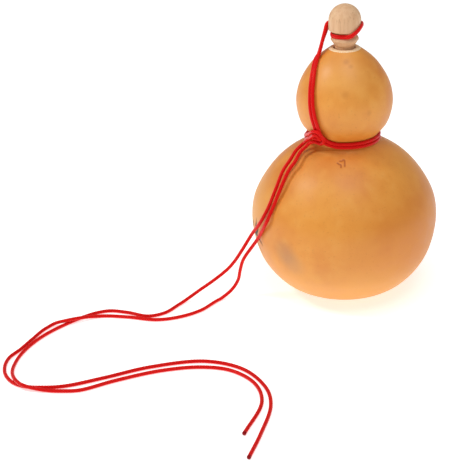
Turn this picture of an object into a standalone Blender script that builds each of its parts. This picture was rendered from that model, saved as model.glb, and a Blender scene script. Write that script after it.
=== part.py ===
"""Gourd bottle with a turned wooden stopper and a knotted red cord.

Metres, +Z up. The origin is the middle of the flat spot that the gourd stands on.
The front of the bottle looks along -Y. An azimuth is measured from the front towards the left (-X).
"""
import math

import bmesh
import bpy
from mathutils import Vector

# Gourd: outline of the outer side as (radius, height), from the flat spot up to the rim.
GOURD_OUTLINE = [
    (0.0150, 0.0000), (0.0350, 0.0068), (0.0470, 0.0205), (0.0519, 0.0345), (0.0530, 0.0475), (0.0514, 0.0570),
    (0.0470, 0.0662), (0.0399, 0.0760), (0.0335, 0.0820), (0.0260, 0.0871), (0.0193, 0.0912), (0.0174, 0.0940),
    (0.0193, 0.0967), (0.0241, 0.1028), (0.0267, 0.1143), (0.0247, 0.1250), (0.0181, 0.1360), (0.0122, 0.1415),
    (0.0084, 0.1443),
]
GOURD_WALL = 0.0030
GOURD_SIDES = 48
OUTLINE_STEPS = 2

# Mouth and rim
RIM_HEIGHT = 0.1443
RIM_ROUND = 0.0004
MOUTH_RADIUS = 0.0057

# Stopper, with heights measured from the rim
KNOB_RADIUS = 0.0088
KNOB_HEIGHT = 0.0153
KNOB_FOOT = 0.0098
KNOB_EDGE = 0.0008
KNOB_STEPS = 8
EDGE_ANGLES = (0, 30, 60, 90)
NECK_RADIUS = 0.0060
COLLAR_RADIUS = 0.0076
COLLAR_HEIGHT = 0.0050
COLLAR_TOP = 0.0068
COLLAR_FOOT = 0.0016
COLLAR_EDGE = 0.0007
COLLAR_ANGLES = (30, 60, 90)
SHANK_RADIUS = 0.0054
SHANK_TIP_RADIUS = 0.0050
SHANK_DEPTH = 0.0110
STOPPER_SIDES = 32

# Cord
CORD_RADIUS = 0.0010
CORD_BEVEL_STEPS = 2
TOUCH_GAP = 0.0003
PAIR_SPACING = 0.0023
CORD_POINT_SPACING = 0.0050
TAIL_POINT_SPACING = 0.0064
STUB_LENGTH = 0.0040
FLOOR_CORD_HEIGHT = 0.0010

# How finely a smooth curve is read between two of its route's points, and how near points weld
ROUTE_STEPS = 8
CLEARANCE_STEPS = 24
SCREW_WELD = 0.00001
CAP_WELD = 0.000001

# Stopper loop, from the front round by the left: low under the knob there, and up the knob's side at the right
LOOP_ROUTE = [
    (0.0000, -0.0074, 0.1524), (-0.0044, -0.0062, 0.1520), (-0.0069, -0.0032, 0.1519), (-0.0074, 0.0006, 0.1520),
    (-0.0068, 0.0047, 0.1523), (-0.0055, 0.0083, 0.1529), (-0.0022, 0.0101, 0.1543), (0.0018, 0.0102, 0.1556),
    (0.0066, 0.0079, 0.1564), (0.0097, 0.0035, 0.1571), (0.0102, -0.0009, 0.1573), (0.0093, -0.0043, 0.1567),
    (0.0079, -0.0066, 0.1555), (0.0064, -0.0081, 0.1541), (0.0045, -0.0088, 0.1530), (0.0022, -0.0082, 0.1524),
]
LOOP_STEPS = 2
BACK_KNOT_CENTRE = (-0.0058, 0.0096, 0.1556)
BACK_KNOT_RADIUS = 0.0021
BACK_KNOT_SIDES = 12
BACK_KNOT_RINGS = 8

# Waist loop
WAIST_RADIUS = 0.0201
WAIST_HEIGHT = 0.0949
WAIST_TILT = 0.0006
WAIST_TILT_AZIMUTH = 40
WAIST_START_AZIMUTH = 12
WAIST_END_AZIMUTH = -302
WAIST_STEP = 14

# Middle line of the pair of strands from the small knot behind the stopper down to the waist
RISER_ROUTE = [
    (-0.0070, 0.0080, 0.1556), (-0.0094, 0.0042, 0.1556), (-0.0105, 0.0020, 0.1528), (-0.0119, 0.0000, 0.1486),
    (-0.0132, -0.0018, 0.1440), (-0.0146, -0.0045, 0.1400), (-0.0156, -0.0085, 0.1372), (-0.0165, -0.0122, 0.1345),
    (-0.0176, -0.0182, 0.1265), (-0.0176, -0.0215, 0.1192), (-0.0168, -0.0227, 0.1133), (-0.0155, -0.0225, 0.1081),
    (-0.0144, -0.0215, 0.1043), (-0.0128, -0.0201, 0.1004), (-0.0102, -0.0190, 0.0970), (-0.0072, -0.0188, 0.0956),
]

# Middle line of the pair where it comes back from the waist, laps over the riser and turns back under itself
LAP_ROUTE = [
    (-0.0213, -0.0010, 0.0932), (-0.0202, -0.0118, 0.0971), (-0.0182, -0.0189, 0.1007), (-0.0161, -0.0228, 0.1033),
    (-0.0142, -0.0235, 0.1029), (-0.0127, -0.0225, 0.1007), (-0.0117, -0.0212, 0.0985), (-0.0128, -0.0198, 0.0972),
    (-0.0150, -0.0184, 0.0975), (-0.0172, -0.0170, 0.0972), (-0.0193, -0.0153, 0.0958),
]
LAP_SPACING = 0.0018
LAP_POINT_SPACING = 0.0015

# Middle lines of the two loose ends, from the knot to the tips
TAIL_LEFT_ROUTE = [
    (-0.0212, -0.0124, 0.0945), (-0.0237, -0.0122, 0.0920), (-0.0263, -0.0139, 0.0899), (-0.0296, -0.0189, 0.0861),
    (-0.0332, -0.0220, 0.0815), (-0.0375, -0.0277, 0.0719), (-0.0417, -0.0292, 0.0616), (-0.0462, -0.0289, 0.0526),
    (-0.0517, -0.0232, 0.0424), (-0.0577, -0.0230, 0.0320), (-0.0627, -0.0222, 0.0238), (-0.0671, -0.0218, 0.0184),
    (-0.0749, -0.0220, 0.0116), (-0.0833, -0.0245, 0.0062), (-0.0922, -0.0297, 0.0015), (-0.1016, -0.0426, 0.0010),
    (-0.1108, -0.0466, 0.0010), (-0.1231, -0.0429, 0.0010), (-0.1339, -0.0413, 0.0010), (-0.1411, -0.0438, 0.0010),
    (-0.1477, -0.0484, 0.0010), (-0.1545, -0.0550, 0.0010), (-0.1627, -0.0646, 0.0010), (-0.1686, -0.0742, 0.0010),
    (-0.1729, -0.0852, 0.0010), (-0.1748, -0.0959, 0.0010), (-0.1740, -0.1070, 0.0019), (-0.1700, -0.1166, 0.0033),
    (-0.1653, -0.1215, 0.0033), (-0.1593, -0.1228, 0.0022), (-0.1519, -0.1234, 0.0013), (-0.1434, -0.1235, 0.0010),
    (-0.1343, -0.1223, 0.0010), (-0.1177, -0.1130, 0.0010), (-0.0955, -0.1029, 0.0010), (-0.0748, -0.0986, 0.0010),
    (-0.0586, -0.1010, 0.0010), (-0.0452, -0.1122, 0.0010), (-0.0400, -0.1291, 0.0010), (-0.0469, -0.1565, 0.0010),
]
TAIL_RIGHT_ROUTE = [
    (-0.0195, -0.0154, 0.0941), (-0.0237, -0.0168, 0.0903), (-0.0267, -0.0219, 0.0865), (-0.0300, -0.0245, 0.0825),
    (-0.0348, -0.0298, 0.0729), (-0.0389, -0.0320, 0.0629), (-0.0426, -0.0336, 0.0546), (-0.0488, -0.0252, 0.0396),
    (-0.0571, -0.0236, 0.0262), (-0.0593, -0.0223, 0.0186), (-0.0609, -0.0213, 0.0114), (-0.0647, -0.0220, 0.0054),
    (-0.0714, -0.0260, 0.0011), (-0.0816, -0.0396, 0.0010), (-0.0934, -0.0474, 0.0010), (-0.1056, -0.0505, 0.0010),
    (-0.1222, -0.0480, 0.0010), (-0.1369, -0.0473, 0.0010), (-0.1439, -0.0495, 0.0018), (-0.1505, -0.0537, 0.0031),
    (-0.1567, -0.0569, 0.0033), (-0.1626, -0.0573, 0.0017), (-0.1672, -0.0626, 0.0010), (-0.1718, -0.0741, 0.0010),
    (-0.1757, -0.0846, 0.0010), (-0.1795, -0.0927, 0.0010), (-0.1798, -0.1010, 0.0010), (-0.1771, -0.1096, 0.0010),
    (-0.1715, -0.1165, 0.0010), (-0.1644, -0.1200, 0.0010), (-0.1547, -0.1206, 0.0010), (-0.1429, -0.1189, 0.0010),
    (-0.1235, -0.1103, 0.0010), (-0.1014, -0.0995, 0.0010), (-0.0728, -0.0928, 0.0010), (-0.0519, -0.0997, 0.0010),
    (-0.0387, -0.1166, 0.0010), (-0.0353, -0.1323, 0.0010), (-0.0388, -0.1561, 0.0010), (-0.0432, -0.1749, 0.0010),
]

# Finishes: name, colour, roughness, metallic value
RIND = ("gourd_rind", (0.72, 0.36, 0.09), 0.45, 0.0)
WOOD = ("stopper_wood", (0.76, 0.49, 0.28), 0.55, 0.0)
CORD = ("red_cord", (0.66, 0.02, 0.03), 0.40, 0.0)


def clear_scene():
    for old in list(bpy.data.objects):
        bpy.data.objects.remove(old, do_unlink=True)


def new_collection(name):
    collection = bpy.data.collections.new(name)
    bpy.context.scene.collection.children.link(collection)
    return collection


def make_material(finish):
    name, colour, roughness, metallic = finish
    material = bpy.data.materials.new(name)
    material.use_nodes = True
    shader = material.node_tree.nodes["Principled BSDF"]
    shader.inputs["Base Color"].default_value = (*colour, 1.0)
    shader.inputs["Roughness"].default_value = roughness
    shader.inputs["Metallic"].default_value = metallic
    return material


def smooth_curve(route, steps):
    """Points on a smooth curve through the route, with `steps` stretches between two route points."""
    points = [Vector(p) for p in route]
    points = [2 * points[0] - points[1]] + points + [2 * points[-1] - points[-2]]
    curve = []
    for before, start, end, after in zip(points, points[1:], points[2:], points[3:]):
        t0 = 0.0
        t1 = t0 + math.sqrt((start - before).length)
        t2 = t1 + math.sqrt((end - start).length)
        t3 = t2 + math.sqrt((after - end).length)
        for step in range(steps):
            t = t1 + (t2 - t1) * step / steps
            a = before.lerp(start, (t - t0) / (t1 - t0))
            b = start.lerp(end, (t - t1) / (t2 - t1))
            c = end.lerp(after, (t - t2) / (t3 - t2))
            d = a.lerp(b, (t - t0) / (t2 - t0))
            e = b.lerp(c, (t - t1) / (t3 - t1))
            curve.append(d.lerp(e, (t - t1) / (t2 - t1)))
    curve.append(points[-2])
    return curve


def closed_curve(route, steps):
    """Points on a smooth closed curve through the route."""
    return smooth_curve(route[-1:] + route + route[:2], steps)[steps:-steps - 1]


def resample(points, spacing):
    """The same line with points at even distances of about `spacing`."""
    lengths = [0.0]
    for a, b in zip(points, points[1:]):
        lengths.append(lengths[-1] + (b - a).length)
    count = max(2, round(lengths[-1] / spacing))
    result = []
    index = 0
    for step in range(count + 1):
        target = lengths[-1] * step / count
        while index < len(points) - 2 and lengths[index + 1] < target:
            index += 1
        span = lengths[index + 1] - lengths[index]
        result.append(points[index].lerp(points[index + 1], (target - lengths[index]) / span))
    return result


def gourd_outer_line(steps):
    """The gourd's outer side, from the flat spot up to the rim, with x the radius and y the height."""
    line = smooth_curve([(r, 0.0, z) for r, z in GOURD_OUTLINE], steps)
    return [Vector((p.x, p.z)) for p in line]


def gourd_inner_line(outer):
    """The hollow's side, one wall thickness in from the outer side, from its floor up to the mouth."""
    inner = []
    for before, here, after in zip(outer, outer[1:], outer[2:]):
        along = (after - before).normalized()
        r = here.x - along.y * GOURD_WALL
        z = here.y + along.x * GOURD_WALL
        if z > GOURD_WALL and r > MOUTH_RADIUS and z < RIM_HEIGHT - GOURD_WALL:
            inner.append((r, z))
    return inner


def turned(name, profile, sides, material, collection):
    """A solid of revolution about Z from a profile of (radius, height) points."""
    mesh = bpy.data.meshes.new(name)
    mesh.from_pydata([(r, 0.0, z) for r, z in profile], [(i, i + 1) for i in range(len(profile) - 1)], [])
    item = bpy.data.objects.new(name, mesh)
    collection.objects.link(item)
    item.data.materials.append(material)
    screw = item.modifiers.new("turn", "SCREW")
    screw.axis = "Z"
    screw.angle = math.tau
    screw.steps = sides
    screw.render_steps = sides
    screw.use_merge_vertices = True
    screw.merge_threshold = SCREW_WELD
    screw.use_smooth_shade = True
    return item


def make_gourd(material, collection):
    """The rind with its hollow: the profile goes up inside, over the rim and down the outer side."""
    outer = gourd_outer_line(OUTLINE_STEPS)
    inner = gourd_inner_line(outer)
    profile = [(0.0, inner[0][1])] + inner
    profile += [(MOUTH_RADIUS, inner[-1][1]), (MOUTH_RADIUS, RIM_HEIGHT - RIM_ROUND)]
    profile += [(MOUTH_RADIUS + RIM_ROUND, RIM_HEIGHT)]
    profile += [tuple(p) for p in reversed(outer)]
    profile += [(0.0, 0.0)]
    return turned("gourd", profile, GOURD_SIDES, material, collection)


def knob_profile():
    """The stopper's knob: a domed top, a straight side, and a rounded lower edge over the neck."""
    centre = RIM_HEIGHT + KNOB_HEIGHT
    foot = RIM_HEIGHT + KNOB_FOOT
    angles = [math.pi / 2 * step / KNOB_STEPS for step in range(KNOB_STEPS + 1)]
    profile = [(KNOB_RADIUS * math.sin(angle), centre + KNOB_RADIUS * math.cos(angle)) for angle in angles]
    for angle in EDGE_ANGLES:
        turn = math.radians(angle)
        profile.append((KNOB_RADIUS - KNOB_EDGE * (1 - math.cos(turn)), foot + KNOB_EDGE * (1 - math.sin(turn))))
    return profile + [(NECK_RADIUS, foot)]


def collar_profile():
    """The collar under the neck: rounded out to its widest, and tapered in again to the shank."""
    profile = [(NECK_RADIUS, RIM_HEIGHT + COLLAR_TOP)]
    for angle in COLLAR_ANGLES:
        turn = math.radians(angle)
        r = NECK_RADIUS + (COLLAR_RADIUS - NECK_RADIUS) * math.sin(turn)
        z = COLLAR_HEIGHT + (COLLAR_TOP - COLLAR_HEIGHT) * math.cos(turn)
        profile.append((r, RIM_HEIGHT + z))
    profile.append((COLLAR_RADIUS - COLLAR_EDGE / 2, RIM_HEIGHT + COLLAR_HEIGHT - COLLAR_EDGE))
    return profile + [(SHANK_RADIUS, RIM_HEIGHT + COLLAR_FOOT)]


def make_stopper(material, collection):
    profile = knob_profile() + collar_profile()
    profile += [(SHANK_RADIUS, RIM_HEIGHT), (SHANK_TIP_RADIUS, RIM_HEIGHT - SHANK_DEPTH)]
    profile += [(0.0, RIM_HEIGHT - SHANK_DEPTH)]
    return turned("stopper", profile, STOPPER_SIDES, material, collection)


def lifted_clear(points, outline):
    """The cord's points, with those too near the gourd pushed straight out and none below the surface."""
    clearance = CORD_RADIUS + TOUCH_GAP
    result = []
    for point in points:
        radius = math.hypot(point.x, point.y)
        here = Vector((radius, point.z))
        near = min(range(1, len(outline) - 1), key=lambda index: (here - outline[index]).length)
        along = (outline[near + 1] - outline[near - 1]).normalized()
        outward = Vector((along.y, -along.x))
        short = clearance - (here - outline[near]).dot(outward)
        if short > 0.0:
            scale = 1.0 + outward.x * short / radius
            point = Vector((point.x * scale, point.y * scale, point.z + outward.y * short))
        result.append(Vector((point.x, point.y, max(point.z, FLOOR_CORD_HEIGHT))))
    return result


def beside(points, distance):
    """The line moved sideways by `distance`, across its own direction and across the way out from the axis."""
    result = []
    for index, point in enumerate(points):
        along = points[min(index + 1, len(points) - 1)] - points[max(index - 1, 0)]
        out = Vector((point.x, point.y, 0.0))
        result.append(point + along.cross(out).normalized() * distance)
    return result


def make_tube(name, points, material, collection, closed=False):
    curve = bpy.data.curves.new(name, "CURVE")
    curve.dimensions = "3D"
    curve.bevel_depth = CORD_RADIUS
    curve.bevel_resolution = CORD_BEVEL_STEPS
    curve.resolution_u = 1
    curve.render_resolution_u = 0
    curve.use_fill_caps = not closed
    spline = curve.splines.new("POLY")
    spline.points.add(len(points) - 1)
    for spot, point in zip(spline.points, points):
        spot.co = (*point, 1.0)
    spline.use_cyclic_u = closed
    curve.materials.append(material)
    item = bpy.data.objects.new(name, curve)
    collection.objects.link(item)
    return item


def waist_points():
    """Middle line of the pair round the waist, from the front by the right and the back to the left."""
    points = []
    for azimuth in range(WAIST_START_AZIMUTH, WAIST_END_AZIMUTH, -WAIST_STEP):
        turn = math.radians(azimuth)
        height = WAIST_HEIGHT + WAIST_TILT * math.cos(turn - math.radians(WAIST_TILT_AZIMUTH))
        points.append((-WAIST_RADIUS * math.sin(turn), -WAIST_RADIUS * math.cos(turn), height))
    return points


def tail_lines(route, outline):
    """The stub that stays with the knot, and the loose end after it, with a small gap between."""
    fine = resample(smooth_curve(route, ROUTE_STEPS), TOUCH_GAP)
    stub_count = round(STUB_LENGTH / TOUCH_GAP)
    stub = lifted_clear(resample(fine[:stub_count + 1], STUB_LENGTH / 2), outline)
    loose = lifted_clear(resample(fine[stub_count + 2:], TAIL_POINT_SPACING), outline)
    return stub, loose


def tie_strands(outline, stubs):
    """The held stretch's open strands: each side's riser and waist strand, and its lap with the stub."""
    pair = resample(smooth_curve(RISER_ROUTE + waist_points(), ROUTE_STEPS), CORD_POINT_SPACING)
    lap = resample(smooth_curve(LAP_ROUTE, ROUTE_STEPS), LAP_POINT_SPACING)
    strands = []
    for side, stub in zip((1, -1), stubs):
        strands.append(lifted_clear(beside(pair, side * PAIR_SPACING / 2), outline))
        strands.append(lifted_clear(beside(lap, side * LAP_SPACING / 2) + stub, outline))
    return strands


def as_mesh(item, collection):
    """A mesh object in place of a curve object, with its caps welded on."""
    graph = bpy.context.evaluated_depsgraph_get()
    mesh = bpy.data.meshes.new_from_object(item.evaluated_get(graph))
    work = bmesh.new()
    work.from_mesh(mesh)
    bmesh.ops.remove_doubles(work, verts=work.verts, dist=CAP_WELD)
    bmesh.ops.recalc_face_normals(work, faces=work.faces)
    work.to_mesh(mesh)
    work.free()
    solid = bpy.data.objects.new(item.name + "_solid", mesh)
    solid.matrix_world = item.matrix_world
    collection.objects.link(solid)
    bpy.data.objects.remove(item, do_unlink=True)
    return solid


def make_back_knot(collection):
    """The small knot that closes the fold behind the stopper."""
    bpy.ops.mesh.primitive_uv_sphere_add(segments=BACK_KNOT_SIDES, ring_count=BACK_KNOT_RINGS,
                                         radius=BACK_KNOT_RADIUS, location=BACK_KNOT_CENTRE)
    knot = bpy.context.object
    for holder in list(knot.users_collection):
        holder.objects.unlink(knot)
    collection.objects.link(knot)


def join_with_cutters(item, material, cutters):
    """One closed body from the item and everything in the cutters' collection, which is emptied."""
    join = item.modifiers.new("join", "BOOLEAN")
    join.operation = "UNION"
    join.operand_type = "COLLECTION"
    join.collection = cutters
    join.solver = "EXACT"
    bpy.context.view_layer.update()
    graph = bpy.context.evaluated_depsgraph_get()
    joined = bpy.data.meshes.new_from_object(item.evaluated_get(graph))
    item.modifiers.clear()
    item.data = joined
    item.data.materials.clear()
    item.data.materials.append(material)
    for used in list(cutters.objects):
        bpy.data.objects.remove(used, do_unlink=True)


def make_tie(outline, stubs, material, collection, cutters):
    """The held stretch of the cord in one body: loop, back knot, riser pair, waist pair and waist knot."""
    curves = [make_tube("loop", closed_curve(LOOP_ROUTE, LOOP_STEPS), material, cutters, closed=True)]
    curves += [make_tube("strand", points, material, cutters) for points in tie_strands(outline, stubs)]
    bpy.context.view_layer.update()
    solids = [as_mesh(item, cutters) for item in curves]
    make_back_knot(cutters)
    tie = solids[0]
    cutters.objects.unlink(tie)
    collection.objects.link(tie)
    tie.name = "cord_tie"
    join_with_cutters(tie, material, cutters)


def main():
    clear_scene()
    parts = new_collection("gourd_bottle")
    cutters = new_collection("cutters")
    cord = make_material(CORD)
    make_gourd(make_material(RIND), parts)
    make_stopper(make_material(WOOD), parts)
    outline = gourd_outer_line(CLEARANCE_STEPS)
    stubs = []
    for name, route in (("cord_tail_left", TAIL_LEFT_ROUTE), ("cord_tail_right", TAIL_RIGHT_ROUTE)):
        stub, loose = tail_lines(route, outline)
        stubs.append(stub)
        make_tube(name, loose, cord, parts)
    make_tie(outline, stubs, cord, parts, cutters)


main()
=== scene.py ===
import functools
import math

import bpy
import numpy as np
from mathutils import Matrix, Vector, noise


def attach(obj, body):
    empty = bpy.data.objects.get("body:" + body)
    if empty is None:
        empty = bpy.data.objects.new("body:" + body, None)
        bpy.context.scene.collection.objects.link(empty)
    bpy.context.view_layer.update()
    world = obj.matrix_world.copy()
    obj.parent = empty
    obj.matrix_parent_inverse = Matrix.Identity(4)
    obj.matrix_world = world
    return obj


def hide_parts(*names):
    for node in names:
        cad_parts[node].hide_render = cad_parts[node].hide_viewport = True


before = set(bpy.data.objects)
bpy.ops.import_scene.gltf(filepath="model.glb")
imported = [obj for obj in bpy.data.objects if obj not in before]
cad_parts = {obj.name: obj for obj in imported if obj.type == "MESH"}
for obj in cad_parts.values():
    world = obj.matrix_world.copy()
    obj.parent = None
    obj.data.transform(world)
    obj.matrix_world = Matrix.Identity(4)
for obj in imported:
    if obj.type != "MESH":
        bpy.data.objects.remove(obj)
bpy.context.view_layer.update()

# Camera: the photograph's view, for a sensor that spans the picture's taller side
CAMERA_PLACE = (0.0, -0.6000, 0.3284)
CAMERA_YAW = 6.636
CAMERA_PITCH = 26.182
CAMERA_ROLL = -2.535
CAMERA_LENS = 87.66
CAMERA_SENSOR = 36.0
CAMERA_CLIP = (0.01, 100.0)

# Light: name, azimuth, elevation, distance, size, power, colour
LIGHTS = [
    ("key_light", 78, 47, 1.10, 0.26, 4.0, (1.00, 0.98, 0.95)),
    ("front_light", -20, 69, 1.40, 0.90, 7.0, (1.00, 0.99, 0.97)),
]
LIGHT_AIM = Vector((-0.010, -0.010, 0.060))
WORLD_COLOUR = (0.98, 0.99, 1.00)
WORLD_STRENGTH = 0.31
FLOOR_SIZE = 60.0
FLOOR_COLOUR = (0.93, 0.93, 0.93)
FLOOR_ROUGHNESS = 0.9
FLOOR_SHINE = 0.1
FLOOR_GLOW = 0.58

# Gourd: outline of the outer side as (radius, height), from the flat spot up to the rim
GOURD_OUTLINE = [
    (0.0150, 0.0000), (0.0350, 0.0068), (0.0470, 0.0205), (0.0519, 0.0345), (0.0530, 0.0475), (0.0514, 0.0570),
    (0.0470, 0.0662), (0.0399, 0.0760), (0.0335, 0.0820), (0.0260, 0.0871), (0.0193, 0.0912), (0.0174, 0.0940),
    (0.0193, 0.0967), (0.0241, 0.1028), (0.0267, 0.1143), (0.0247, 0.1250), (0.0181, 0.1360), (0.0122, 0.1415),
    (0.0084, 0.1443),
]
OUTLINE_SPACING = 0.0002
OUTLINE_SMOOTHING = 8
GOURD_WALL = 0.0030
RIM_HEIGHT = 0.1443
RIM_ROUND = 0.0005
RIM_OUTER_SINK = 0.4
RIM_INNER_SINK = 0.5
MOUTH_RADIUS = 0.0057
LUMP_HEIGHT = 0.00022
LUMP_SCALE = 26.0
RIPPLE_HEIGHT = 0.00006
RIPPLE_SCALE = 95.0
SMOOTH_FOOT = 0.006
SMOOTH_RIM = 0.004
BASE_DIMPLE_DEPTH = 0.0012
BASE_DIMPLE_RADIUS = 0.0060
BASE_RADII = (0.0012, 0.0024, 0.0036, 0.0048, 0.0060, 0.0100)

# Gourd mesh: fine columns (first and last azimuth, step) and rows (lowest and highest, step), coarse between
FINE_COLUMNS = [(-5, 10, 0.70), (57, 160, 0.46)]
FINE_ROWS = [(0.0140, 0.0680, 0.00042), (0.0848, 0.0890, 0.00030)]
COARSE_COLUMN_STEP = 2.4
UPPER_ROW_STEP = 0.0017
LOWER_ROW_STEP = 0.0022

# Sprig cut into the rind on the left side, its places given as (azimuth, height)
CARVED_DEPTH = 0.00035
CARVED_EDGE = 0.00045
FAR_GAP = 1.0
LEAF_STEPS = 10
LEAF_HALF_WIDTH = 0.00110
LEAF_FULLNESS = 0.8
DEGREE_LENGTH = 0.00092
STALK_HALF_WIDTH = 0.00062
STALK_STEPS = 4
JOINT_SHARE = 0.5
TWIG_HALF_WIDTH = 0.00036
TWIG_STEPS = 6
STALK = [
    (148, 0.0150), (143, 0.0240), (137.5, 0.0330), (131.5, 0.0420),
    (125, 0.0510), (118.5, 0.0595), (114, 0.0650),
]
TWIGS = [
    [(131.5, 0.0420), (115, 0.0412), (97, 0.0405), (76, 0.0384)],
    [(143, 0.0240), (128, 0.0243), (110, 0.0262)],
    [(125, 0.0510), (138, 0.0555), (149, 0.0572)],
    [(137.5, 0.0330), (143, 0.0345), (148, 0.0355)],
]

# Leaves of the sprig: foot, bend and tip
LEAVES = [
    ((75, 0.0400), (69.5, 0.0430), (68.4, 0.0508)),
    ((81, 0.0390), (78.5, 0.0430), (75.4, 0.0470)),
    ((75, 0.0386), (68.5, 0.0398), (64.2, 0.0470)),
    ((76, 0.0382), (66, 0.0415), (60.0, 0.0358)),
    ((79, 0.0372), (71, 0.0352), (64.6, 0.0288)),
    ((98, 0.0408), (93, 0.0450), (91, 0.0530)),
    ((95, 0.0400), (90, 0.0370), (87, 0.0290)),
    ((113, 0.0416), (108, 0.0450), (105, 0.0525)),
    ((111, 0.0406), (106, 0.0385), (102, 0.0310)),
    ((110, 0.0262), (103, 0.0265), (96, 0.0235)),
    ((113, 0.0256), (107, 0.0230), (102, 0.0175)),
    ((120, 0.0252), (116, 0.0280), (114, 0.0340)),
    ((114, 0.0650), (107, 0.0660), (100, 0.0620)),
    ((118, 0.0602), (111, 0.0605), (105, 0.0565)),
    ((121, 0.0565), (126, 0.0600), (128, 0.0655)),
    ((149, 0.0572), (154, 0.0570), (158, 0.0525)),
    ((145, 0.0568), (148, 0.0595), (150, 0.0650)),
    ((139, 0.0556), (144, 0.0530), (146, 0.0470)),
    ((148, 0.0355), (153, 0.0350), (157, 0.0300)),
    ((145, 0.0350), (149, 0.0375), (151, 0.0430)),
    ((141, 0.0270), (146, 0.0275), (152, 0.0235)),
]

# Scratched scar on the front of the shoulder
SCAR_DEPTH = 0.00015
SCAR_HALF_WIDTH = 0.00046
SCAR_STEPS = 4
SCAR_STROKES = [
    [(4.8, 0.08785), (2.2, 0.08785), (0.6, 0.08830), (-1.0, 0.08800), (-1.2, 0.08700), (-1.2, 0.08610)],
    [(7.5, 0.08710), (5.2, 0.08670), (3.3, 0.08645), (3.0, 0.08565)],
]

# Stopper, with heights measured from the rim, and each arc as its first angle, last angle and steps
KNOB_RADIUS = 0.0088
KNOB_HEIGHT = 0.0153
KNOB_FOOT = 0.0098
KNOB_EDGE = 0.0008
NECK_RADIUS = 0.0060
COLLAR_RADIUS = 0.0076
COLLAR_HEIGHT = 0.0050
COLLAR_TOP = 0.0068
COLLAR_FOOT = 0.0016
COLLAR_EDGE = 0.0007
SHANK_RADIUS = 0.0054
SHANK_TIP_RADIUS = 0.0050
SHANK_DEPTH = 0.0110
SHANK_STRAIGHT = 0.002
SHANK_CHAMFER = 0.0005
GROOVE_DEPTH = 0.0002
KNOB_STEPS = 40
KNOB_EDGE_STEPS = 8
COLLAR_ARC = (8, 90, 12)
COLLAR_EDGE_ARC = (100, 140, 4)
STOPPER_SIDES = 96
STOPPER_SHARP_ANGLE = 50

# Cord
CORD_DIAMETER = 0.0020
CORD_RADIUS = CORD_DIAMETER / 2
CORD_CLEARANCE = 0.0011
PAIR_SPACING = 0.00215
JOIN_STEP = 0.0015
JOIN_SMOOTHING = 6
FLOOR_CORD_HEIGHT = 0.00112
TUBE_SIDES = 24
TUBE_STEP = 0.00027
UPRIGHT_SINE = 0.1
BRAID_AROUND = 6
BRAID_PERIOD = 0.0016
BRAID_RELIEF = 0.035
CORD_SHARP_ANGLE = 60
ROUTE_STEPS = 16

# Stopper loop, from the front round by the left: low under the knob, then up its side at the right
LOOP_ROUTE = [
    (0.0000, -0.0073, 0.1522), (-0.0041, -0.0059, 0.1520), (-0.0067, -0.0031, 0.1519),
    (-0.0072, 0.0000, 0.1520), (-0.0062, 0.0036, 0.1523), (-0.0052, 0.0074, 0.1526),
    (-0.0034, 0.0093, 0.1536), (0.0000, 0.0097, 0.1552), (0.0048, 0.0083, 0.1562),
    (0.0083, 0.0048, 0.1568), (0.0095, 0.0000, 0.1572), (0.0088, -0.0036, 0.1568),
    (0.0073, -0.0061, 0.1555), (0.0056, -0.0077, 0.1543), (0.0034, -0.0086, 0.1530),
    (0.0014, -0.0080, 0.1524),
]
LOOP_HALF_WIDTH = 0.00122
LOOP_HALF_DEPTH = 0.00065
BACK_KNOT_CENTRE = Vector((-0.0058, 0.0096, 0.1556))
BACK_KNOT_AXIS = Vector((-0.42, -0.88, 0.10)).normalized()
BACK_KNOT_RADIUS = 0.0017
BACK_KNOT_PITCH = 0.0019
BACK_KNOT_TURNS = 1.6
BACK_KNOT_STEPS = 28

# Waist loop
WAIST_RADIUS = 0.0195
WAIST_HEIGHT = 0.0943
WAIST_TILT = 0.0006
WAIST_TILT_AZIMUTH = 40
WAIST_START_AZIMUTH = 12
WAIST_END_AZIMUTH = -262
WAIST_STEP = 14

# Middle line of the pair of strands from the small knot behind the stopper down to the waist
RISER_ROUTE = [
    (-0.0070, 0.0080, 0.1556), (-0.0094, 0.0042, 0.1556), (-0.0105, 0.0020, 0.1528),
    (-0.0119, 0.0000, 0.1486), (-0.0132, -0.0018, 0.1440), (-0.0146, -0.0045, 0.1400),
    (-0.0156, -0.0085, 0.1372), (-0.0165, -0.0122, 0.1345), (-0.0176, -0.0182, 0.1265),
    (-0.0176, -0.0215, 0.1192), (-0.0168, -0.0227, 0.1133), (-0.0155, -0.0225, 0.1081),
    (-0.0144, -0.0215, 0.1043), (-0.0128, -0.0201, 0.1004), (-0.0102, -0.0190, 0.0970),
    (-0.0072, -0.0188, 0.0956),
]

# Middle line of the pair where it comes back from the waist, laps over the riser and turns back under itself
LAP_ROUTE = [
    (-0.0213, -0.0010, 0.0932), (-0.0202, -0.0118, 0.0971), (-0.0182, -0.0189, 0.1007),
    (-0.0161, -0.0228, 0.1033), (-0.0142, -0.0235, 0.1029), (-0.0127, -0.0225, 0.1007),
    (-0.0117, -0.0212, 0.0985), (-0.0128, -0.0198, 0.0972), (-0.0150, -0.0184, 0.0975),
    (-0.0172, -0.0170, 0.0972), (-0.0193, -0.0153, 0.0958),
]

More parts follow.
